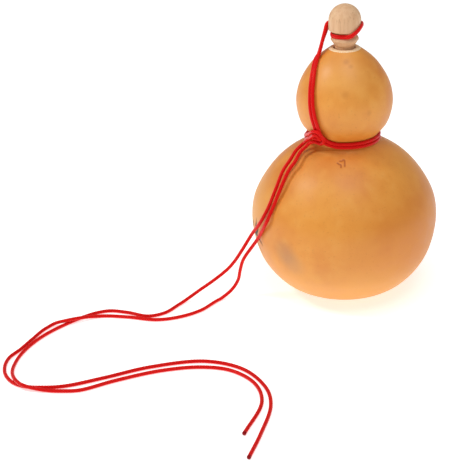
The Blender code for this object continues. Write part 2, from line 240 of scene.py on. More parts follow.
# Middle lines of the two loose ends, from the knot to the tips
TAIL_LEFT_ROUTE = [
    (-0.0212, -0.0124, 0.0945), (-0.0237, -0.0122, 0.0920), (-0.0263, -0.0139, 0.0899),
    (-0.0296, -0.0189, 0.0861), (-0.0332, -0.0220, 0.0815), (-0.0375, -0.0277, 0.0719),
    (-0.0417, -0.0292, 0.0616), (-0.0462, -0.0289, 0.0526), (-0.0517, -0.0232, 0.0424),
    (-0.0577, -0.0230, 0.0320), (-0.0627, -0.0222, 0.0238), (-0.0671, -0.0218, 0.0184),
    (-0.0749, -0.0220, 0.0116), (-0.0833, -0.0245, 0.0062), (-0.0922, -0.0297, 0.0015),
    (-0.1016, -0.0426, 0.0010), (-0.1108, -0.0466, 0.0010), (-0.1231, -0.0429, 0.0010),
    (-0.1339, -0.0413, 0.0010), (-0.1411, -0.0438, 0.0010), (-0.1477, -0.0484, 0.0010),
    (-0.1545, -0.0550, 0.0010), (-0.1627, -0.0646, 0.0010), (-0.1686, -0.0742, 0.0010),
    (-0.1729, -0.0852, 0.0010), (-0.1748, -0.0959, 0.0010), (-0.1740, -0.1070, 0.0019),
    (-0.1700, -0.1166, 0.0033), (-0.1653, -0.1215, 0.0033), (-0.1593, -0.1228, 0.0022),
    (-0.1519, -0.1234, 0.0013), (-0.1434, -0.1235, 0.0010), (-0.1343, -0.1223, 0.0010),
    (-0.1177, -0.1130, 0.0010), (-0.0955, -0.1029, 0.0010), (-0.0748, -0.0986, 0.0010),
    (-0.0586, -0.1010, 0.0010), (-0.0452, -0.1122, 0.0010), (-0.0400, -0.1291, 0.0010),
    (-0.0469, -0.1565, 0.0010),
]
TAIL_RIGHT_ROUTE = [
    (-0.0195, -0.0154, 0.0941), (-0.0237, -0.0168, 0.0903), (-0.0267, -0.0219, 0.0865),
    (-0.0300, -0.0245, 0.0825), (-0.0348, -0.0298, 0.0729), (-0.0389, -0.0320, 0.0629),
    (-0.0426, -0.0336, 0.0546), (-0.0488, -0.0252, 0.0396), (-0.0571, -0.0236, 0.0262),
    (-0.0593, -0.0223, 0.0186), (-0.0609, -0.0213, 0.0114), (-0.0647, -0.0220, 0.0054),
    (-0.0714, -0.0260, 0.0011), (-0.0816, -0.0396, 0.0010), (-0.0934, -0.0474, 0.0010),
    (-0.1056, -0.0505, 0.0010), (-0.1222, -0.0480, 0.0010), (-0.1369, -0.0473, 0.0010),
    (-0.1439, -0.0495, 0.0018), (-0.1505, -0.0537, 0.0031), (-0.1567, -0.0569, 0.0033),
    (-0.1626, -0.0573, 0.0017), (-0.1672, -0.0626, 0.0010), (-0.1718, -0.0741, 0.0010),
    (-0.1757, -0.0846, 0.0010), (-0.1795, -0.0927, 0.0010), (-0.1798, -0.1010, 0.0010),
    (-0.1771, -0.1096, 0.0010), (-0.1715, -0.1165, 0.0010), (-0.1644, -0.1200, 0.0010),
    (-0.1547, -0.1206, 0.0010), (-0.1429, -0.1189, 0.0010), (-0.1235, -0.1103, 0.0010),
    (-0.1014, -0.0995, 0.0010), (-0.0728, -0.0928, 0.0010), (-0.0519, -0.0997, 0.0010),
    (-0.0387, -0.1166, 0.0010), (-0.0353, -0.1323, 0.0010), (-0.0388, -0.1561, 0.0010),
    (-0.0432, -0.1749, 0.0010),
]
TAIL_GAP = 0.0003
STUB_LENGTH = 0.0040
TIP_LENGTH = 0.0022
TIP_SWELL = 0.06
TIP_ROUNDING = 0.0006
TIP_END_AREA = 0.04
TIP_DARKENING = 1.5


# Stage: camera, lights, world and floor

def make_camera():
    yaw = math.radians(CAMERA_YAW)
    pitch = math.radians(CAMERA_PITCH)
    roll = math.radians(CAMERA_ROLL)
    ahead = Vector((-math.sin(yaw) * math.cos(pitch), math.cos(yaw) * math.cos(pitch), -math.sin(pitch)))
    level = Vector((math.cos(yaw), math.sin(yaw), 0.0))
    above = level.cross(ahead)
    right = level * math.cos(roll) + above * math.sin(roll)
    up = above * math.cos(roll) - level * math.sin(roll)
    data = bpy.data.cameras.new("camera")
    data.lens = CAMERA_LENS
    data.sensor_width = CAMERA_SENSOR
    data.clip_start, data.clip_end = CAMERA_CLIP
    camera = bpy.data.objects.new("camera", data)
    turn = Matrix((right, up, -ahead)).transposed().to_4x4()
    camera.matrix_world = Matrix.Translation(CAMERA_PLACE) @ turn
    bpy.context.scene.collection.objects.link(camera)
    bpy.context.scene.camera = camera


def make_light(name, azimuth, elevation, distance, size, power, colour):
    turn = math.radians(azimuth)
    rise = math.radians(elevation)
    way = Vector((-math.sin(turn) * math.cos(rise), -math.cos(turn) * math.cos(rise), math.sin(rise)))
    data = bpy.data.lights.new(name, "AREA")
    data.shape = "DISK"
    data.size = size
    data.energy = power
    data.color = colour
    light = bpy.data.objects.new(name, data)
    light.location = LIGHT_AIM + way * distance
    light.rotation_euler = way.to_track_quat("Z", "Y").to_euler()
    bpy.context.scene.collection.objects.link(light)


def make_world():
    world = bpy.data.worlds.new("studio")
    world.use_nodes = True
    background = world.node_tree.nodes["Background"]
    background.inputs["Color"].default_value = (*WORLD_COLOUR, 1.0)
    background.inputs["Strength"].default_value = WORLD_STRENGTH
    bpy.context.scene.world = world


def make_floor():
    material = bpy.data.materials.new("floor")
    material.use_nodes = True
    shader = material.node_tree.nodes["Principled BSDF"]
    shader.inputs["Base Color"].default_value = (*FLOOR_COLOUR, 1.0)
    shader.inputs["Roughness"].default_value = FLOOR_ROUGHNESS
    shader.inputs["Specular IOR Level"].default_value = FLOOR_SHINE
    shader.inputs["Emission Color"].default_value = (1.0, 1.0, 1.0, 1.0)
    shader.inputs["Emission Strength"].default_value = FLOOR_GLOW
    bpy.ops.mesh.primitive_plane_add(size=FLOOR_SIZE, location=(0.0, 0.0, 0.0))
    floor = bpy.context.object
    floor.name = "floor"
    floor.data.materials.append(material)


# Materials

class Nodes:
    """A material's nodes, added one line at a time."""

    def __init__(self, name):
        self.material = bpy.data.materials.new(name)
        self.material.use_nodes = True
        self.tree = self.material.node_tree
        self.shader = self.tree.nodes["Principled BSDF"]

    def put(self, socket, value):
        if isinstance(value, bpy.types.NodeSocket):
            self.tree.links.new(value, socket)
        elif isinstance(value, tuple) and len(value) == 3 and socket.type == "RGBA":
            socket.default_value = (*value, 1.0)
        else:
            socket.default_value = value

    def add(self, kind, settings=None, **inputs):
        """A new node with its settings, and its inputs named by their sockets, with _ for a space."""
        node = self.tree.nodes.new("ShaderNode" + kind)
        for key, value in (settings or {}).items():
            setattr(node, key, value)
        for key, value in inputs.items():
            self.put(node.inputs[key.replace("_", " ")], value)
        return node

    def shade(self, **inputs):
        for key, value in inputs.items():
            self.put(self.shader.inputs[key.replace("_", " ")], value)

    def place(self):
        return self.add("TexCoord").outputs["Object"]

    def noise(self, scale, detail, roughness, stretch=None):
        vector = self.place()
        if stretch:
            vector = self.add("Mapping", Vector=vector, Scale=stretch).outputs[0]
        made = self.add("TexNoise", Vector=vector, Scale=scale, Detail=detail, Roughness=roughness)
        return made.outputs["Fac"]

    def remap(self, value, low, high, out_low=0.0, out_high=1.0):
        """The value taken smoothly from low..high to out_low..out_high."""
        node = self.add("MapRange", {"interpolation_type": "SMOOTHSTEP"})
        for index, given in enumerate((value, low, high, out_low, out_high)):
            self.put(node.inputs[index], given)
        return node.outputs[0]

    def math(self, operation, a, b):
        node = self.add("Math", {"operation": operation})
        self.put(node.inputs[0], a)
        self.put(node.inputs[1], b)
        return node.outputs[0]

    def mix(self, factor, a, b):
        """Colour a where the factor is 0, and colour b where it is 1."""
        node = self.add("Mix", {"data_type": "RGBA"})
        self.put(node.inputs["Factor"], factor)
        self.put(node.inputs[6], a)
        self.put(node.inputs[7], b)
        return node.outputs[2]

    def attribute(self, name):
        return self.add("Attribute", {"attribute_name": name}).outputs["Fac"]

    def near(self, point, radius, softness):
        """1 within the radius of a point on the piece, 0 further out than radius + softness."""
        away = self.add("VectorMath", {"operation": "DISTANCE"})
        self.put(away.inputs[0], self.place())
        self.put(away.inputs[1], point)
        return self.remap(away.outputs["Value"], radius, radius + softness, 1.0, 0.0)

    def bump(self, height, strength, distance, normal=None):
        node = self.add("Bump", Height=height, Strength=strength, Distance=distance)
        if normal:
            self.put(node.inputs["Normal"], normal)
        return node.outputs[0]


# Colours
RIND_GOLD = (0.810, 0.325, 0.042)
RIND_ORANGE = (0.700, 0.225, 0.018)
RIND_PALE = (0.830, 0.400, 0.085)
RIND_BROWN = (0.400, 0.105, 0.006)
STAIN_GREY = (0.440, 0.240, 0.110)
SCAR_BROWN = (0.420, 0.095, 0.001)
CARVED_BROWN = (0.026, 0.009, 0.004)
PITH_CREAM = (0.950, 0.760, 0.500)
WOOD_LIGHT = (0.800, 0.520, 0.300)
WOOD_WARM = (0.700, 0.410, 0.220)
WOOD_PORE = (0.420, 0.210, 0.110)
# painted shade colour, for the pith inside the mouth and the stopper's shank
WOOD_PAINTED_SHADE = (0.560, 0.270, 0.110)
CORD_RED = (0.780, 0.010, 0.010)
# deep red for darker fibres, and for painted shade in the braid's hollows
CORD_FIBRE_AND_SHADE_RED = (0.460, 0.003, 0.004)
CORD_TIP = (0.250, 0.005, 0.010)

# Shine of the rind, and of the red cord's fibres
RIND_COAT = 0.20
RIND_COAT_ROUGHNESS = 0.35
CARVED_ROUGHNESS = 0.75
CORD_SHINE = (1.0, 0.14, 0.10)
CORD_SHEEN = (1.0, 0.06, 0.04)
CORD_SHEEN_WEIGHT = 0.12
CORD_SHEEN_ROUGHNESS = 0.40

# Painted shade: darker brown on the pith inside the mouth, and on the stopper's shank where it enters the
# mouth under the collar
PITH_PAINTED_SHADE_RADIUS = 0.0058
PITH_PAINTED_SHADE_SOFTNESS = 0.0006
SHANK_PAINTED_SHADE_DEPTH = 0.001
SHANK_PAINTED_SHADE_RADIUS = 0.0056
SHANK_PAINTED_SHADE_SOFTNESS = 0.0020
SHANK_PAINTED_SHADE_STRENGTH = 0.6

# Stains in the rind, and patches of painted light among them, marked below: azimuth, height, radius, softness,
# strength, colour
STAINS_AND_PAINTED_LIGHT = [
    (38, 0.040, 0.002, 0.009, 0.38, STAIN_GREY),
    (33, 0.034, 0.002, 0.009, 0.34, STAIN_GREY),
    # darker orange on the right side: partly the rind's own tone, partly painted shade on the side away from
    # the key light
    (-32, 0.040, 0.012, 0.034, 0.55, RIND_ORANGE),
    (-75, 0.040, 0.018, 0.030, 0.50, RIND_ORANGE),
    # painted reflection: pale patches on the lower left flank and on the bottom, where the white surroundings
    # and floor reflect
    (80, 0.045, 0.016, 0.024, 0.55, RIND_PALE),
    (0, 0.000, 0.034, 0.024, 0.60, RIND_PALE),
    (0, 0.136, 0.006, 0.016, 0.45, RIND_PALE),
    (150, 0.050, 0.006, 0.020, 0.30, RIND_ORANGE),
    (-1, 0.1257, 0.0003, 0.0030, 0.22, RIND_BROWN),
    (-30, 0.1150, 0.0002, 0.0022, 0.22, RIND_BROWN),
    (-4, 0.1405, 0.0004, 0.0022, 0.30, RIND_BROWN),
    (-12, 0.1385, 0.0002, 0.0018, 0.25, RIND_BROWN),
]


def make_rind():
    made = Nodes("gourd_rind")
    broad = made.noise(30.0, 3.0, 0.55)
    patchy = made.noise(120.0, 5.0, 0.62)
    streaks = made.noise(55.0, 3.0, 0.5, stretch=(3.2, 3.2, 0.55))
    grain = made.noise(900.0, 2.0, 0.6)
    colour = made.mix(made.remap(broad, 0.30, 0.62), RIND_ORANGE, RIND_GOLD)
    colour = made.mix(made.remap(patchy, 0.48, 0.78, 0.0, 0.35), colour, RIND_PALE)
    colour = made.mix(made.remap(patchy, 0.44, 0.28, 0.0, 0.25), colour, RIND_ORANGE)
    colour = made.mix(made.remap(streaks, 0.50, 0.72, 0.0, 0.22), colour, RIND_ORANGE)
    colour = made.mix(made.remap(grain, 0.60, 0.74, 0.0, 0.24), colour, RIND_BROWN)
    for azimuth, height, radius, softness, strength, patch_colour in STAINS_AND_PAINTED_LIGHT:
        mask = made.near(on_gourd(azimuth, height), radius, softness)
        colour = made.mix(made.math("MULTIPLY", mask, strength), colour, patch_colour)
    colour = made.mix(made.attribute("scar"), colour, SCAR_BROWN)
    carved = made.attribute("carving")
    colour = made.mix(carved, colour, CARVED_BROWN)
    roughness = made.remap(patchy, 0.30, 0.70, 0.46, 0.58)
    roughness = made.math("MAXIMUM", roughness, made.math("MULTIPLY", carved, CARVED_ROUGHNESS))
    normal = made.bump(patchy, 0.25, 0.0004)
    normal = made.bump(grain, 0.18, 0.00008, normal)
    made.shade(Base_Color=colour, Roughness=roughness, Normal=normal, Coat_Weight=RIND_COAT,
               Coat_Roughness=RIND_COAT_ROUGHNESS)
    return made.material


def make_pith():
    made = Nodes("gourd_pith")
    fibres = made.noise(1400.0, 3.0, 0.6)
    colour = made.mix(made.remap(fibres, 0.45, 0.80), PITH_CREAM, RIND_PALE)
    # painted shade: the pith turns darker brown inside the mouth, below the stopper's collar
    inside = made.near((0.0, 0.0, RIM_HEIGHT), PITH_PAINTED_SHADE_RADIUS, PITH_PAINTED_SHADE_SOFTNESS)
    colour = made.mix(inside, colour, WOOD_PAINTED_SHADE)
    made.shade(Base_Color=colour, Roughness=0.75, Normal=made.bump(fibres, 0.3, 0.0001))
    return made.material


def make_wood():
    made = Nodes("stopper_wood")
    grain = made.noise(420.0, 4.0, 0.6, stretch=(1.0, 1.0, 0.10))
    pores = made.noise(1500.0, 2.0, 0.5, stretch=(1.0, 1.0, 0.08))
    broad = made.noise(90.0, 2.0, 0.5, stretch=(1.0, 1.0, 0.35))
    colour = made.mix(made.remap(grain, 0.35, 0.68), WOOD_LIGHT, WOOD_WARM)
    colour = made.mix(made.remap(broad, 0.45, 0.70, 0.0, 0.45), colour, WOOD_WARM)
    colour = made.mix(made.remap(pores, 0.60, 0.72, 0.0, 0.55), colour, WOOD_PORE)
    # painted shade: the shank turns darker brown towards the mouth, below the collar
    shank_painted_shade = made.near((0.0, 0.0, RIM_HEIGHT - SHANK_PAINTED_SHADE_DEPTH), SHANK_PAINTED_SHADE_RADIUS, SHANK_PAINTED_SHADE_SOFTNESS)
    colour = made.mix(made.math("MULTIPLY", shank_painted_shade, SHANK_PAINTED_SHADE_STRENGTH), colour, WOOD_PAINTED_SHADE)
    roughness = made.remap(grain, 0.3, 0.7, 0.48, 0.60)
    normal = made.bump(pores, 0.35, 0.00008)
    made.shade(Base_Color=colour, Roughness=roughness, Normal=normal)
    return made.material


def make_satin():
    made = Nodes("red_cord")
    threads = made.attribute("braid")
    fibre = made.noise(2600.0, 2.0, 0.6)
    # painted shade: the colour darkens where the braid's relief is low, in its hollows
    colour = made.mix(made.remap(threads, 0.0, 0.60), CORD_FIBRE_AND_SHADE_RED, CORD_RED)
    colour = made.mix(made.remap(fibre, 0.55, 0.75, 0.0, 0.30), colour, CORD_FIBRE_AND_SHADE_RED)
    colour = made.mix(made.attribute("sealed"), colour, CORD_TIP)
    roughness = made.remap(fibre, 0.3, 0.7, 0.30, 0.42)
    normal = made.bump(fibre, 0.15, 0.00004)
    made.shade(Base_Color=colour, Roughness=roughness, Normal=normal, Specular_Tint=CORD_SHINE,
               Sheen_Weight=CORD_SHEEN_WEIGHT, Sheen_Roughness=CORD_SHEEN_ROUGHNESS, Sheen_Tint=CORD_SHEEN)
    return made.material


# Lines

def smooth_curve(route, steps):
    """Points on a smooth curve through the route, with `steps` stretches between two route points."""
    points = [Vector(p) for p in route]
    points = [2 * points[0] - points[1]] + points + [2 * points[-1] - points[-2]]
    curve = []
    for before, start, end, after in zip(points, points[1:], points[2:], points[3:]):
        t0 = 0.0
        t1 = t0 + math.sqrt((start - before).length)
        t2 = t1 + math.sqrt((end - start).length)
        t3 = t2 + math.sqrt((after - end).length)
        for step in range(steps):
            t = t1 + (t2 - t1) * step / steps
            a = before.lerp(start, (t - t0) / (t1 - t0))
            b = start.lerp(end, (t - t1) / (t2 - t1))
            c = end.lerp(after, (t - t2) / (t3 - t2))
            d = a.lerp(b, (t - t0) / (t2 - t0))
            e = b.lerp(c, (t - t1) / (t3 - t1))
            curve.append(d.lerp(e, (t - t1) / (t2 - t1)))
    curve.append(points[-2])
    return curve


def closed_curve(route, steps):
    """Points on a smooth closed curve through the route, with its first point again at its end."""
    return smooth_curve(route[-1:] + route + route[:2], steps)[steps:-steps]


def line_lengths(points):
    """The distance along the line to each of its points."""
    lengths = [0.0]
    for a, b in zip(points, points[1:]):
        lengths.append(lengths[-1] + (b - a).length)
    return lengths


def resample(points, spacing):
    """The same line with points at even distances of about `spacing`."""
    lengths = line_lengths(points)
    count = max(2, round(lengths[-1] / spacing))
    targets = np.linspace(0.0, lengths[-1], count + 1)
    columns = [np.interp(targets, lengths, [p[axis] for p in points]) for axis in range(len(points[0]))]
    return [Vector(p) for p in zip(*columns)]


def smoothed(values, reach):
    """Running mean of a column of numbers, with its ends kept."""
    padded = np.concatenate([np.repeat(values[:1], reach), values, np.repeat(values[-1:], reach)])
    kernel = np.ones(2 * reach + 1) / (2 * reach + 1)
    return np.convolve(padded, kernel, "valid")


@functools.cache
def gourd_outer_line():
    """The gourd's outer side, from the flat spot up to the rim, with x the radius and y the height."""
    line = resample(smooth_curve([(r, 0.0, z) for r, z in GOURD_OUTLINE], ROUTE_STEPS), OUTLINE_SPACING)
    radii = smoothed(np.array([p.x for p in line]), OUTLINE_SMOOTHING)
    heights = smoothed(np.array([p.z for p in line]), OUTLINE_SMOOTHING)
    return [Vector((r, z)) for r, z in zip(radii, heights)]


def turned_point(radius, height, turn):
    """The point at a radius and a height, turned round the axis from the front towards the left."""
    return (-radius * math.sin(turn), -radius * math.cos(turn), height)


def on_gourd(azimuth, height):
    """The point of the gourd's outer side at an azimuth and a height."""
    line = gourd_outer_line()
    radius = float(np.interp(height, [p.y for p in line], [p.x for p in line]))
    return turned_point(radius, height, math.radians(azimuth))


# Gourd

def base_rows():
    """The dimple in the flat spot and the flat spot round it, from the middle outwards."""
    rows = []
    for radius in BASE_RADII:
        share = min(radius / BASE_DIMPLE_RADIUS, 1.0)
        rows.append(Vector((radius, BASE_DIMPLE_DEPTH * (1 + math.cos(math.pi * share)) / 2)))
    return rows


def row_step(height):
    for low, high, step in FINE_ROWS:
        if low <= height <= high:
            return step
    return LOWER_ROW_STEP if height < FINE_ROWS[0][0] else UPPER_ROW_STEP


def spaced_rows(line):
    """The outer line's points, close together at the fine rows and further apart elsewhere."""
    rows = [line[0]]
    since = 0.0
    for before, here in zip(line, line[1:]):
        since += (here - before).length
        if since >= row_step(here.y):
            rows.append(here)
            since = 0.0
    rows[-1] = line[-1]
    return rows


def spaced_columns():
    """Azimuths round the gourd in radians, close together in the fine sectors."""
    columns = []
    starts = [low for low, high, step in FINE_COLUMNS[1:]] + [FINE_COLUMNS[0][0] + 360]
    for (low, high, step), start in zip(FINE_COLUMNS, starts):
        columns += list(np.arange(low, high, step))
        count = round((start - high) / COARSE_COLUMN_STEP)
        columns += [high + (start - high) * index / count for index in range(count)]
    return np.radians(columns)


def traced(route, steps):
    """Points on the rind along a smooth line through (azimuth, height) places."""
    curve = smooth_curve([(azimuth * DEGREE_LENGTH, height, 0.0) for azimuth, height in route], steps)
    return np.array([on_gourd(point.x / DEGREE_LENGTH, point.y) for point in curve])


def even_line(line, half_width):
    """A line with the same half width all along."""
    return line, [half_width] * len(line)


def leaf_line(foot, bend, tip):
    """A leaf's middle line on the rind and its half widths, both from the foot to the tip."""
    line = []
    halves = []
    for step in range(LEAF_STEPS + 1):
        t = step / LEAF_STEPS
        place = ((1 - t) ** 2 * a + 2 * t * (1 - t) * b + t * t * c for a, b, c in zip(foot, bend, tip))
        line.append(on_gourd(*place))
        halves.append(LEAF_HALF_WIDTH * math.sin(math.pi * t ** LEAF_FULLNESS))
    return np.array(line), halves


def line_gap(points, line, halves):
    """How far each point is outside a line drawn with the half widths, negative inside it."""
    gap = np.full(len(points), FAR_GAP)
    for start, end, half, next_half in zip(line, line[1:], halves, halves[1:]):
        along = end - start
        share = np.clip((points - start) @ along / (along @ along), 0.0, 1.0)
        away = np.linalg.norm(points - start - share[:, None] * along, axis=1)
        gap = np.minimum(gap, away - half - (next_half - half) * share)
    return gap


def pressed(points, lines):
    """For each point 1 inside the drawn lines, 0 outside them, and a short slope between."""
    gap = np.full(len(points), FAR_GAP)
    for line, halves in lines:
        gap = np.minimum(gap, line_gap(points, line, halves))
    share = np.clip(0.5 - gap / CARVED_EDGE, 0.0, 1.0)
    return share * share * (3 - 2 * share)


def sprig_lines():
    """Every line of the carved sprig with its half widths: the stalk in joints, the twigs and the leaves."""
    lines = []
    for start, end in zip(STALK, STALK[1:]):
        joint = traced([start, end], STALK_STEPS)
        lines.append(even_line(joint[:-1] + (joint[1:] - joint[:-1]) * JOINT_SHARE, STALK_HALF_WIDTH))
    lines += [even_line(traced(twig, TWIG_STEPS), TWIG_HALF_WIDTH) for twig in TWIGS]
    lines += [leaf_line(*leaf) for leaf in LEAVES]
    return lines


def scar_lines():
    return [even_line(traced(stroke, SCAR_STEPS), SCAR_HALF_WIDTH) for stroke in SCAR_STROKES]


def lump(point):
    """How far the rind stands out at a point: slow lumps, and faint ripples on them."""
    slow = noise.noise(point * LUMP_SCALE)
    quick = noise.noise(point * RIPPLE_SCALE)
    return slow * LUMP_HEIGHT + quick * RIPPLE_HEIGHT


def turned_grid(radii, heights, columns):
    """Each row's radius and height turned to every column's azimuth."""
    x = -radii[:, None] * np.sin(columns)
    y = -radii[:, None] * np.cos(columns)
    return np.stack([x, y, np.repeat(heights[:, None], len(columns), 1)], 2)


def outer_grid(rows, columns):
    """Points and outward directions of the gourd's outer side, row by row."""
    radii = np.array([p.x for p in rows])
    heights = np.array([p.y for p in rows])
    along_r = np.gradient(radii)
    along_z = np.gradient(heights)
    size = np.hypot(along_r, along_z)
    out_r = along_z / size
    out_z = -along_r / size
    return turned_grid(radii, heights, columns), turned_grid(out_r, out_z, columns)


def grid_faces(row_count, column_count, start=0):
    """Four-sided faces between rows of points that close round, from the vertex `start` on."""
    faces = []
    for row in range(row_count - 1):
        base = start + row * column_count
        for column in range(column_count):
            following = (column + 1) % column_count
            faces.append((base + column, base + column_count + column,
                          base + column_count + following, base + following))
    return faces


def inner_rows():
    """The hollow's side, from the mouth down to the hollow's floor, as (radius, height)."""
    line = [Vector(p) for p in GOURD_OUTLINE]
    inner = []
    for before, here, after in zip(line, line[1:], line[2:]):
        along = (after - before).normalized()
        r = here.x - along.y * GOURD_WALL
        z = here.y + along.x * GOURD_WALL
        if r > MOUTH_RADIUS:
            inner.append((r, z))
    return [(MOUTH_RADIUS, inner[-1][1])] + inner[::-1]


def rim_rows():
    """The cut rim, from its outer edge over its rounded top and down the mouth, as (radius, height)."""
    rows = []
    outer = GOURD_OUTLINE[-1][0] - RIM_ROUND
    inner = MOUTH_RADIUS + RIM_ROUND
    for centre, sink, angles in ((outer, RIM_OUTER_SINK, (45, 90)), (inner, RIM_INNER_SINK, (90, 135, 180))):
        for angle in angles:
            turn = math.radians(angle)
            height = RIM_HEIGHT + RIM_ROUND * (math.sin(turn) - sink)
            rows.append((centre + RIM_ROUND * math.cos(turn), height))
    return rows


def outer_side(rows, columns):
    """The outer side's points with lumps, carving and scar, and how much each is carved and scarred."""
    points, outward = outer_grid(rows, columns)
    flat = points.reshape(-1, 3)
    raised = np.array([lump(Vector(p)) for p in flat])
    height = flat[:, 2]
    settle = np.clip(height / SMOOTH_FOOT, 0.0, 1.0) * np.clip((RIM_HEIGHT - height) / SMOOTH_RIM, 0.0, 1.0)
    carved = pressed(flat, sprig_lines())
    scarred = pressed(flat, scar_lines())
    moved = raised * settle - carved * CARVED_DEPTH - scarred * SCAR_DEPTH
    return flat + outward.reshape(-1, 3) * moved[:, None], carved, scarred


def make_gourd(rind, pith):
    rows = base_rows() + spaced_rows(gourd_outer_line())
    columns = spaced_columns()
    outer, carved, scarred = outer_side(rows, columns)
    hidden_rows = rim_rows() + inner_rows()
    vertices = [tuple(p) for p in outer]
    vertices += [turned_point(r, z, turn) for r, z in hidden_rows for turn in columns]
    vertices += [(0.0, 0.0, hidden_rows[-1][1]), (0.0, 0.0, BASE_DIMPLE_DEPTH)]
    hollow_floor, base_centre = len(vertices) - 2, len(vertices) - 1
    count = len(columns)
    row_count = len(rows) + len(hidden_rows)
    last = (row_count - 1) * count
    faces = grid_faces(row_count, count)
    faces += [(last + c, hollow_floor, last + (c + 1) % count) for c in range(count)]
    faces += [(c, (c + 1) % count, base_centre) for c in range(count)]
    mesh = bpy.data.meshes.new("gourd_shell")
    mesh.from_pydata(vertices, [], faces)
    mesh.materials.append(rind)
    mesh.materials.append(pith)
    pith_start = (len(rows) - 1) * count
    for polygon in mesh.polygons:
        if min(polygon.vertices) >= pith_start and max(polygon.vertices) < base_centre:
            polygon.material_index = 1
    unmarked = np.zeros(len(vertices) - len(outer))
    for name, mark in (("carving", carved), ("scar", scarred)):
        attribute = mesh.attributes.new(name, "FLOAT", "POINT")
        attribute.data.foreach_set("value", np.concatenate([mark, unmarked]))
    mesh.shade_smooth()
    shell = bpy.data.objects.new("gourd_shell", mesh)
    bpy.context.scene.collection.objects.link(shell)
    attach(shell, "root")
    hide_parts("gourd")


# Stopper

def arc(centre, radius_r, radius_z, start, end, steps):
    """Points (radius, height) on an ellipse's arc, with angles in degrees from straight up."""
    points = []
    for step in range(steps + 1):
        turn = math.radians(start + (end - start) * step / steps)
        points.append((centre[0] + radius_r * math.sin(turn), centre[1] + radius_z * math.cos(turn)))
    return points


def stopper_profile():
    """The stopper's side from the top of its knob down to its tip, as (radius, height)."""
    profile = arc((0.0, RIM_HEIGHT + KNOB_HEIGHT), KNOB_RADIUS, KNOB_RADIUS, 0, 90, KNOB_STEPS)
    edge = (KNOB_RADIUS - KNOB_EDGE, RIM_HEIGHT + KNOB_FOOT + KNOB_EDGE)
    profile += arc(edge, KNOB_EDGE, KNOB_EDGE, 90, 180, KNOB_EDGE_STEPS)
    profile.append((NECK_RADIUS, RIM_HEIGHT + KNOB_FOOT))
    shoulder = (NECK_RADIUS, RIM_HEIGHT + COLLAR_HEIGHT)
    profile += arc(shoulder, COLLAR_RADIUS - NECK_RADIUS, COLLAR_TOP - COLLAR_HEIGHT, *COLLAR_ARC)
    edge = (COLLAR_RADIUS - COLLAR_EDGE, RIM_HEIGHT + COLLAR_HEIGHT)
    profile += arc(edge, COLLAR_EDGE, COLLAR_EDGE, *COLLAR_EDGE_ARC)
    profile += [(SHANK_RADIUS, RIM_HEIGHT + COLLAR_FOOT)]
    profile += [(SHANK_RADIUS - GROOVE_DEPTH, RIM_HEIGHT + COLLAR_FOOT - GROOVE_DEPTH)]
    profile += [(SHANK_RADIUS, RIM_HEIGHT + COLLAR_FOOT - 2 * GROOVE_DEPTH)]
    profile += [(SHANK_RADIUS, RIM_HEIGHT - SHANK_STRAIGHT)]
    profile += [(SHANK_TIP_RADIUS, RIM_HEIGHT - SHANK_DEPTH + SHANK_CHAMFER)]
    profile += [(SHANK_TIP_RADIUS - SHANK_CHAMFER, RIM_HEIGHT - SHANK_DEPTH)]
    return profile


def make_stopper(wood):
    profile = stopper_profile()[1:]
    turns = [math.tau * side / STOPPER_SIDES for side in range(STOPPER_SIDES)]
    vertices = [(0.0, 0.0, RIM_HEIGHT + KNOB_HEIGHT + KNOB_RADIUS)]
    vertices += [turned_point(r, z, turn) for r, z in profile for turn in turns]
    vertices.append((0.0, 0.0, profile[-1][1]))
    faces = [tuple(reversed(face)) for face in grid_faces(len(profile), STOPPER_SIDES, 1)]
    last = 1 + (len(profile) - 1) * STOPPER_SIDES
    for side in range(STOPPER_SIDES):
        following = (side + 1) % STOPPER_SIDES
        faces.append((0, 1 + following, 1 + side))
        faces.append((last + side, last + following, len(vertices) - 1))
    mesh = bpy.data.meshes.new("stopper_turned")
    mesh.from_pydata(vertices, [], faces)
    mesh.materials.append(wood)
    mesh.shade_smooth()
    mesh.set_sharp_from_angle(angle=math.radians(STOPPER_SHARP_ANGLE))
    stopper = bpy.data.objects.new("stopper_turned", mesh)
    bpy.context.scene.collection.objects.link(stopper)
    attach(stopper, "root")
    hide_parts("stopper")


# Cord

def lifted_clear(points, outline):
    """The cord's points, with those too near the gourd pushed straight out and none below the surface."""
    spots = np.array([(p.x, p.y) for p in outline])
    along = np.gradient(spots, axis=0)
    outward = np.stack([along[:, 1], -along[:, 0]], 1) / np.hypot(along[:, 0], along[:, 1])[:, None]
    result = []
    for point in points:
        radius = math.hypot(point.x, point.y)
        here = np.array((radius, point.z))
        near = int(np.argmin(((spots - here) ** 2).sum(1)))
        short = CORD_CLEARANCE - float((here - spots[near]) @ outward[near])
        if short > 0.0:
            push_r, push_z = outward[near] * short
            scale = 1.0 + push_r / radius
            point = Vector((point.x * scale, point.y * scale, point.z + push_z))
        result.append(Vector((point.x, point.y, max(point.z, FLOOR_CORD_HEIGHT))))
    return result


def beside(points, distance):
    """The line moved sideways by `distance`, across its own way and across the way out from the axis."""
    result = []
    for index, point in enumerate(points):
        along = points[min(index + 1, len(points) - 1)] - points[max(index - 1, 0)]
        out = Vector((point.x, point.y, 0.0))
        result.append(point + along.cross(out).normalized() * distance)
    return result


def tube_frames(points):
    """Two directions across the line at each point, carried along it without twist.

    The first comes from straight up, or from the x axis where the line starts nearly upright.
    """
    neighbours = zip(points[:1] + points, points[1:] + points[-1:])
    tangents = [(after - before).normalized() for before, after in neighbours]
    side = tangents[0].cross(Vector((0.0, 0.0, 1.0)))
    if side.length < UPRIGHT_SINE:
        side = tangents[0].cross(Vector((1.0, 0.0, 0.0)))
    side.normalize()
    frames = []
    for tangent in tangents:
        side = (side - tangent * side.dot(tangent)).normalized()
        frames.append((side, tangent.cross(side)))
    return frames


